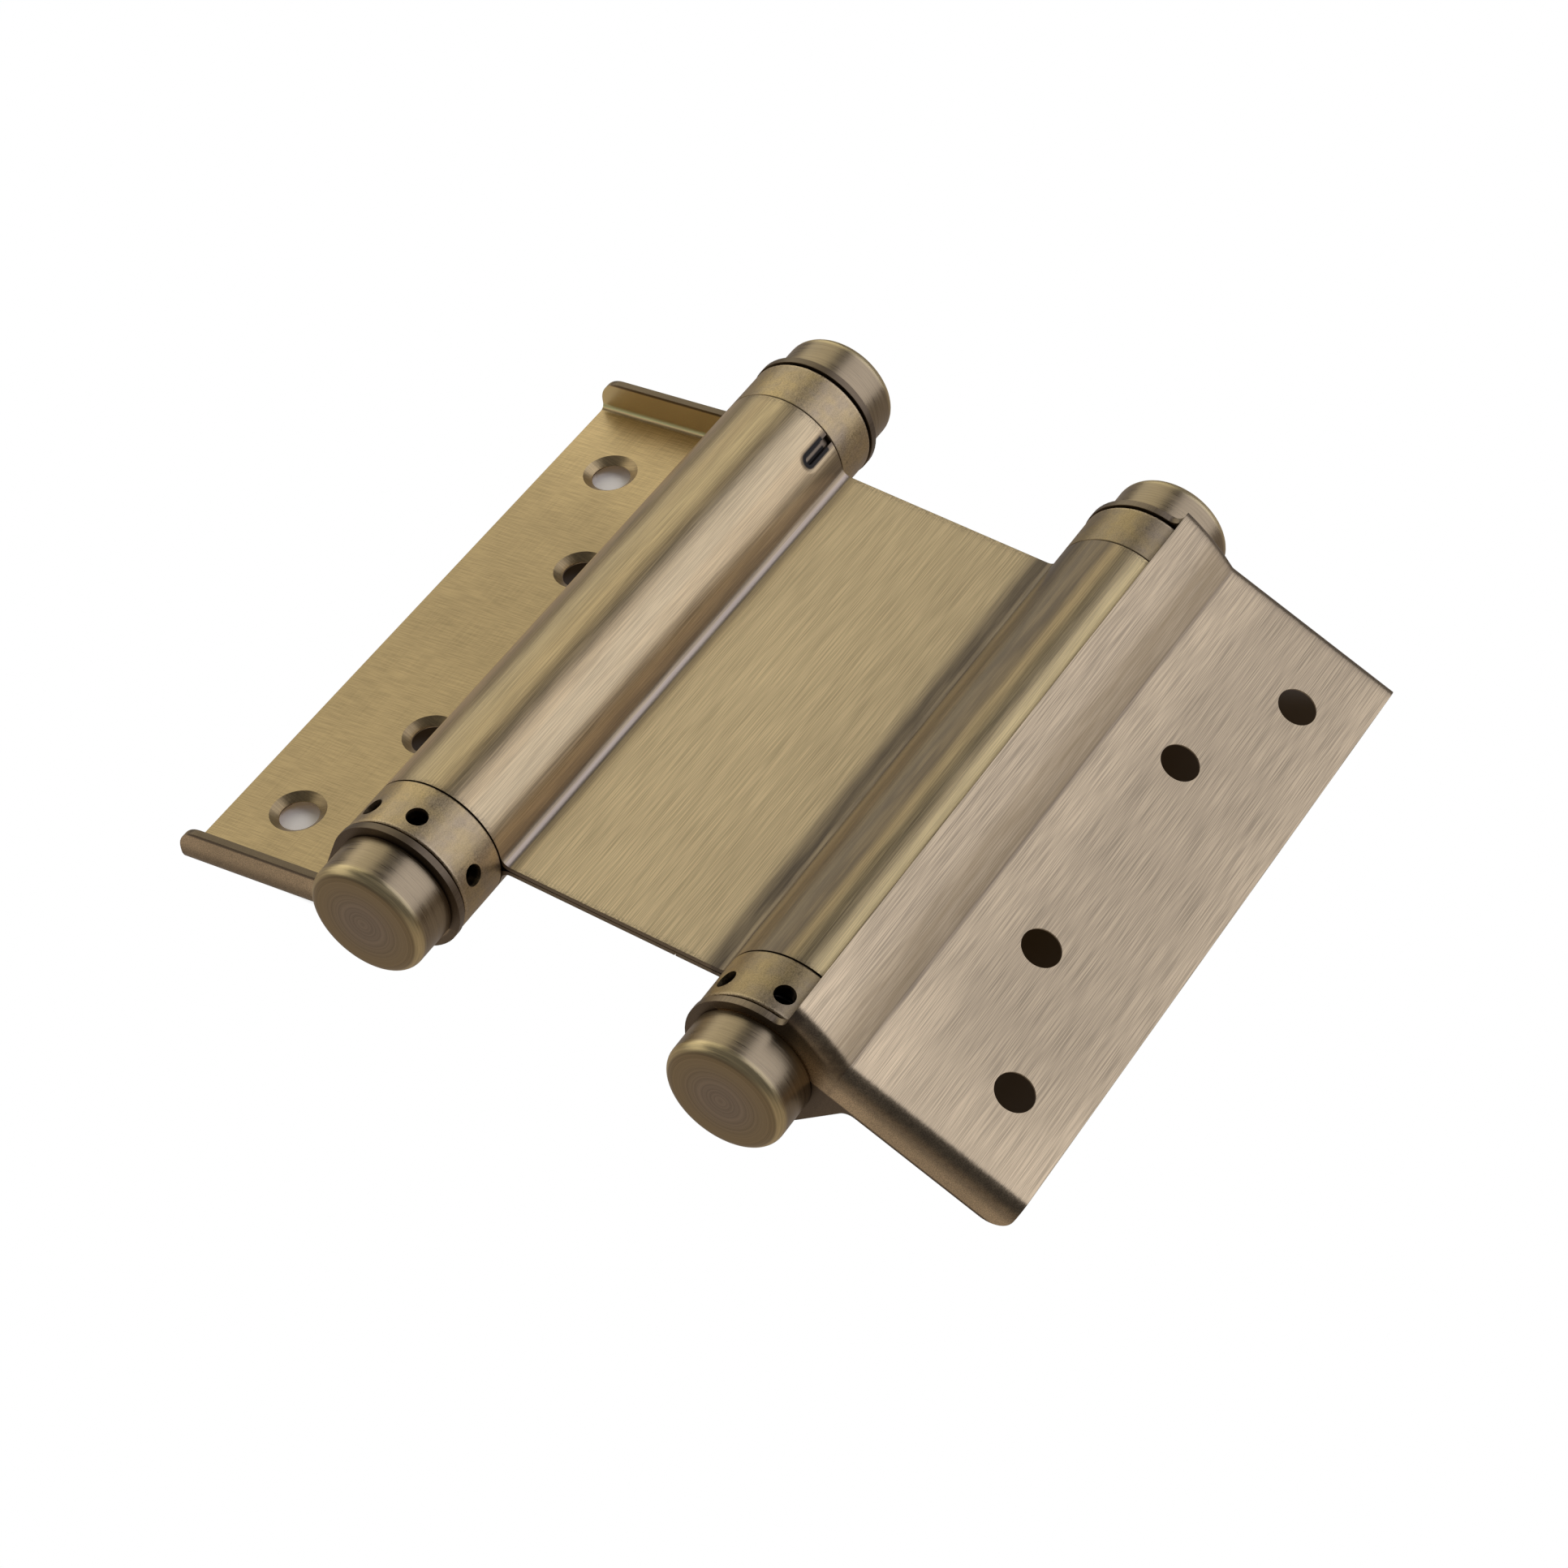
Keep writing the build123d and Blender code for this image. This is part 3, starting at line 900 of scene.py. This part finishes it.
@dataclass
class Barrel:
    """The turned pieces of one barrel and its spring, with its sizes in millimetres.

    Attributes:
        side: Which of the two it is.
        place: Its axis, turned to its leaf.
        radius: Radius of its collars.
        collar_seam: Where the tension collar's head meets the tube, along Y.
        plug_seam: Where the fixed plug's head meets it.
        collar_end: Distance from the middle to a collar's outer face.
        cap_foot: Distance from the middle to where a cap begins.
        cap_top: Distance from the middle to a cap's face.
        spring_end: Distance from the middle to where the spring's twist would begin and end. It is not used.
    """

    frame: dict
    side: Side
    place: Place
    radius: float = BARREL_RADIUS
    collar_seam: float = -41.45
    plug_seam: float = 42.25
    collar_end: float = 49.3
    cap_foot: float = 51.1
    cap_top: float = 58.25
    spring_end: float = 37.0

    def cap_finish(self) -> bpy.types.Material:
        """Turned cap: marks round its side, rings on its face, a rim lightened as rubbed metal and as a painted
        highlight.

        Returns:
            The material.
        """
        paint = Paint(f"{CAP.name} {self.side.value}", self.place)
        level = abs(paint.along)
        face = abs(paint.facing_along).rise(0.75, 0.97)
        side = 1.0 - face
        from_axis = paint.node("ShaderNodeCombineXYZ", None, {0: paint.radius}).outputs[0]
        rings = paint.noise((0.17, 30.0, 30.0), 3.0, 1.0, from_axis)
        wide_rings = paint.noise((0.4, 60.0, 60.0), 2.0, 5.0, from_axis)
        marks = paint.noise((6.0, 0.16, 6.0), 3.0, 3.0)
        wide_marks = paint.noise((5.0, 0.45, 5.0), 2.0, 8.0)
        on_face = rings.crisp(0.3) * 0.75 + wide_rings.crisp(0.3) * 0.25
        on_side = marks.crisp(0.3) * 0.7 + wide_marks.crisp(0.3) * 0.3
        turning = on_face * face + on_side * side
        rim = level.rise(self.cap_top - 2.0, self.cap_top - 0.9) * side
        centre = paint.radius.fall(2.0, 6.8) * face
        foot = level.fall(self.cap_foot, self.cap_foot + 0.8)
        # Painted highlight on the rubbed rim.
        colour = paint.mix(rim * 0.9, CAP.colour, CAP.rim)
        colour = paint.mix(face, colour, CAP.face)
        colour = paint.mix(centre * 0.75, colour, CAP.centre)
        colour = paint.scale(colour, 1.0 + (turning - 0.5) * (0.46 + face * 0.04))
        colour = paint.mix(foot * 0.45, colour, CAP.patina)
        rough = CAP.roughness + turning.swing(0.16) + rim * 0.05
        relief = marks * side * (1.0 - rim) * 0.006 + rings * face * 0.004
        return paint.finish(CAP, colour, rough, relief)

    def collar_finish(self, seam: float) -> bpy.types.Material:
        """Collar with a cast grain, a rubbed chamfer and painted shade on its inner faces; barrel A's are painted
        lighter than barrel B's.

        Args:
            seam: Where its head meets the tube, along Y.

        Returns:
            The material.
        """
        paint = Paint(f"{COLLAR.name} {self.side.value} {seam:.0f}", self.place)
        grain = paint.noise((0.17, 0.17, 0.17), 3.0)
        pits = paint.noise((0.55, 0.55, 0.55), 3.0, 9.0)
        streak = paint.noise((0.3, 2.5, 0.3), 2.0, 5.0)
        cloud = paint.noise((3.5, 3.5, 3.5), 2.0, 15.0)
        speckle = grain.crisp(0.3) - 0.5
        # Painted light and shade: the collars' tone lighter on barrel A than on barrel B.
        tone = (1.0 + speckle * 0.52 + streak.crisp(0.3).swing(0.14)) * COLLAR_PAINTED_LIGHT[self.side]
        outer = paint.radius.rise(self.radius - 0.6, self.radius - 0.2)
        chamfer = abs(paint.along).rise(self.collar_end - 0.4, self.collar_end + 0.05) * outer
        joint = abs(paint.along - seam).fall(0.05, 0.35) * 0.7
        # Painted shade on the collar's inner faces.
        inside = paint.radius.fall(self.radius - 0.9, self.radius - 0.35) * 0.9
        pitted = pits.rise(0.58, 0.80) * 0.4
        colour = paint.mix(cloud.crisp(0.3), COLLAR.colour, COLLAR.cloud)
        colour = paint.scale(colour, tone)
        colour = paint.mix(chamfer * grain.rise(0.35, 0.6) * 0.75, colour, COLLAR.rubbed)
        colour = paint.mix(joint | inside | pitted, colour, COLLAR.patina)
        return paint.finish(COLLAR, colour, COLLAR.roughness + speckle * 0.2, grain * 0.010 + pits * 0.016)

    def build(self) -> None:
        """Dress all the pieces of the barrel, and put in its spring."""
        nodes = self.frame["nodes"]
        letter = self.side.value
        cap = self.cap_finish()
        washer = turned_steel(WASHER, self.place)
        bush = turned_steel(BUSH, self.place)
        for end in End:
            dress(nodes[f"cap_{letter}_{end.value}"], cap)
            dress(nodes[f"thrust_washer_{letter}_{end.value}"], washer)
        dress(nodes[f"tension_collar_{letter}"], self.collar_finish(self.collar_seam))
        dress(nodes[f"fixed_plug_{letter}"], self.collar_finish(self.plug_seam))
        dress(nodes[f"tension_bush_{letter}"], bush)
        dress(nodes[f"plug_bush_{letter}"], bush)
        dress(nodes[f"spindle_{letter}"], turned_steel(ROD, self.place, 0.1))
        self.spring()
        log.info("barrel %s dressed", letter)

    def spring(self) -> None:
        """Put in a copy of the spring in the place of its CAD node."""
        node = f"torsion_spring_{self.side.value}"
        wire = copy_of(self.frame["nodes"][node], f"{node}_wound")
        dress(wire, turned_steel(WIRE, self.place, 0.4))
        reach = self.spring_end * MM
        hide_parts(node)
        -reach
        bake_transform(wire)


def mirrored(angle: float) -> Triple:
    """The direction that a surface along Y mirrors to the camera, at an angle about Y from +X."""
    turn = radians(angle)
    return (MIRROR_ACROSS * cos(turn), MIRROR_ALONG, MIRROR_ACROSS * sin(turn))


@dataclass(frozen=True)
class Softbox:
    """One large soft lamp that faces the hinge, with its sizes in metres.

    Attributes:
        name: The lamp's name.
        towards: Direction from the hinge to the lamp.
        width: Its width.
        length: Its length, along Y.
        radiance: How bright its face is.
        colour: Its colour.
        distance: Its distance from the hinge.
    """

    name: str
    towards: Triple
    width: float
    length: float
    radiance: float
    colour: Triple
    distance: float = 0.9

    def build(self) -> None:
        """Hang the lamp so that it faces the hinge, with its length along Y."""
        lamp = bpy.data.lights.new(self.name, "AREA")
        lamp.shape = "RECTANGLE"
        lamp.size = self.width
        lamp.size_y = self.length
        lamp.energy = self.radiance * LAMP_WATTS * self.width * self.length
        lamp.color = self.colour
        light = bpy.data.objects.new(self.name, lamp)
        bpy.context.scene.collection.objects.link(light)
        back = Vector(self.towards).normalized()
        right = Vector((0.0, 1.0, 0.0)).cross(back).normalized()
        turn = Matrix((right, back.cross(right), back)).transposed().to_4x4()
        light.matrix_world = Matrix.Translation(back * self.distance) @ turn


SOFTBOXES = (
    Softbox("right softbox", mirrored(43.0), 1.08, 0.85, 1.02, (1.0, 1.05, 1.25)),
    Softbox("left softbox", mirrored(138.5), 0.80, 0.85, 0.82, (1.0, 0.985, 0.83)),
    Softbox("left fill", (-0.80, -0.10, 0.34), 0.50, 1.20, 0.65, (1.0, 0.97, 0.88)),
)


@dataclass
class Studio:
    """Floor, light and camera, in metres and degrees.

    Attributes:
        lamps: The lamps.
        camera_place: Where the camera stands.
        azimuth: Its turn about Z.
        elevation: How far it looks down.
        roll: Its turn about its own line of sight.
        lens: Its focal length in millimetres, on a sensor 36 mm wide.
        paper_size: Side of the paper on the floor.
        paper_gap: How far the paper lies below the hinge, so that they don't touch.
    """

    lamps: tuple[Softbox, ...] = SOFTBOXES
    camera_place: Triple = (0.221998, -0.341495, 0.42153)
    azimuth: float = 33.232
    elevation: float = 45.965
    roll: float = -2.722
    lens: float = 102.32
    paper_size: float = 6.0
    paper_gap: float = 0.0002

    def floor(self) -> None:
        """Lay the white paper, which only the camera sees."""
        bpy.ops.object.select_all(action="DESELECT")
        bpy.ops.mesh.primitive_plane_add(size=self.paper_size, location=(0, 0, -self.paper_gap))
        paper = bpy.context.object
        paper.name = "paper"
        bpy.ops.object.transform_apply(location=True, rotation=True, scale=True)
        paper.visible_diffuse = False
        paper.visible_glossy = False
        paper.visible_shadow = False
        dress(paper, self.paper())

    @staticmethod
    def paper() -> bpy.types.Material:
        """White paper, with a painted shadow only where a leaf lies close over it: dark under leaf B and leaf A's
        inner part, pale under leaf A's outer part.

        Returns:
            The material.
        """
        paint = Paint("paper", Place((0.0, 0.0, 0.0)))
        reach, along = paint.reach, paint.along
        under_a = reach.rise(-61.6, -60.6) * reach.fall(-37.0, -33.0) * abs(along).fall(47.0, 49.0)
        under_b = reach.rise(30.0, 36.0) * reach.fall(57.0, 59.5) * along.rise(-42.0, -37.0) * along.fall(48.0, 52.0)
        pale = reach.fall(-51.0, -49.4)
        around = paint.node("ShaderNodeAmbientOcclusion", {"samples": 16}, {"Distance": 30.0 * MM})
        sky = Wire(paint, around.outputs["AO"])
        covered = sky.fall(0.54, 0.72) | pale * sky.fall(0.75, 0.92)
        grain = paint.noise((1.5, 1.5, 1.5))
        # Painted shadow: the paper dark under leaf B and leaf A's inner part, pale under leaf A's outer part.
        colour = paint.mix(pale, (0.16, 0.135, 0.115, 1), (1.24, 1.16, 1.05, 1))
        shade = paint.node("ShaderNodeBsdfDiffuse", None, {"Color": paint.scale(colour, 1.0 + grain.swing(0.04))})
        white = paint.node("ShaderNodeEmission", None, {"Color": (1, 1, 1, 1), "Strength": 1.0})
        both = paint.node(
            "ShaderNodeMixShader",
            None,
            {0: (under_a | under_b) * covered, 1: white.outputs[0], 2: shade.outputs[0]},
        )
        paint.node("ShaderNodeOutputMaterial", None, {0: both.outputs[0]})
        return paint.material

    @staticmethod
    def room() -> bpy.types.World:
        """The dim room: darker above and before the hinge than below it.

        Returns:
            The world.
        """
        world = bpy.data.worlds.new("room")
        world.use_nodes = True
        graph = Graph(world.node_tree)
        coords = graph.node("ShaderNodeTexCoord")
        _, _, up = graph.parts(coords.outputs["Generated"])
        stops = ((0.30, (0.34, 0.30, 0.27, 1)), (0.62, (0.12, 0.12, 0.13, 1)))
        ramp = graph.node("ShaderNodeValToRGB", {"stops": stops}, {0: up * 0.5 + 0.5})
        background = graph.node("ShaderNodeBackground", None, {0: ramp.outputs[0]})
        graph.node("ShaderNodeOutputWorld", None, {0: background.outputs[0]})
        return world

    def camera(self) -> None:
        """Set the camera as the photo's was."""
        data = bpy.data.cameras.new("camera")
        data.sensor_width = 36.0
        data.lens = self.lens
        camera = bpy.data.objects.new("camera", data)
        bpy.context.scene.collection.objects.link(camera)
        turn = (
            Matrix.Rotation(radians(self.azimuth), 4, "Z")
            @ Matrix.Rotation(radians(90.0 - self.elevation), 4, "X")
            @ Matrix.Rotation(radians(self.roll), 4, "Z")
        )
        camera.matrix_world = Matrix.Translation(self.camera_place) @ turn
        bpy.context.scene.camera = camera
        bpy.context.scene.view_settings.view_transform = "Standard"
        bpy.context.scene.view_settings.look = "None"

    def build(self) -> None:
        """Build the whole studio."""
        self.floor()
        bpy.context.scene.world = self.room()
        for lamp in self.lamps:
            lamp.build()
        self.camera()
        log.info("studio built")


def places(frame: dict) -> tuple[Place, dict[Side, Place], float]:
    """Where the centre and the two leaves lie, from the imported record.


    Returns:
        The centre's place, each leaf's place, and the distance between the barrels in millimetres.
    """
    record = frame["record"]
    joints = {joint["name"]: joint for joint in record["behaviour"]["joints"]}
    mounts = {mount["name"]: mount for mount in record["mounts"]}
    axes = {side: Vector(joints[f"leaf_{side.value}_swing"]["pos_m"]) for side in Side}
    across = axes[Side.B] - axes[Side.A]
    leaves = {}
    for side in Side:
        normal = Vector(mounts[f"leaf_{side.value}_outer_screws"]["axis"])
        leaves[side] = Place(tuple(axes[side]), atan2(normal.x, normal.z))
    return Place(tuple(axes[Side.A]), -atan2(across.z, across.x)), leaves, across.length / MM


def main() -> None:
    """Dress the hinge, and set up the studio."""
    logging.basicConfig(level=logging.INFO, format="%(name)s: %(message)s")
    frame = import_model()
    centre, leaves, spacing = places(frame)
    CentreLeaf(frame, centre, spacing).build()
    for side in Side:
        SwingLeaf(frame, side, leaves[side]).build()
        Barrel(frame, side, leaves[side]).build()
    Studio().build()


if __name__ == "__main__":
    main()
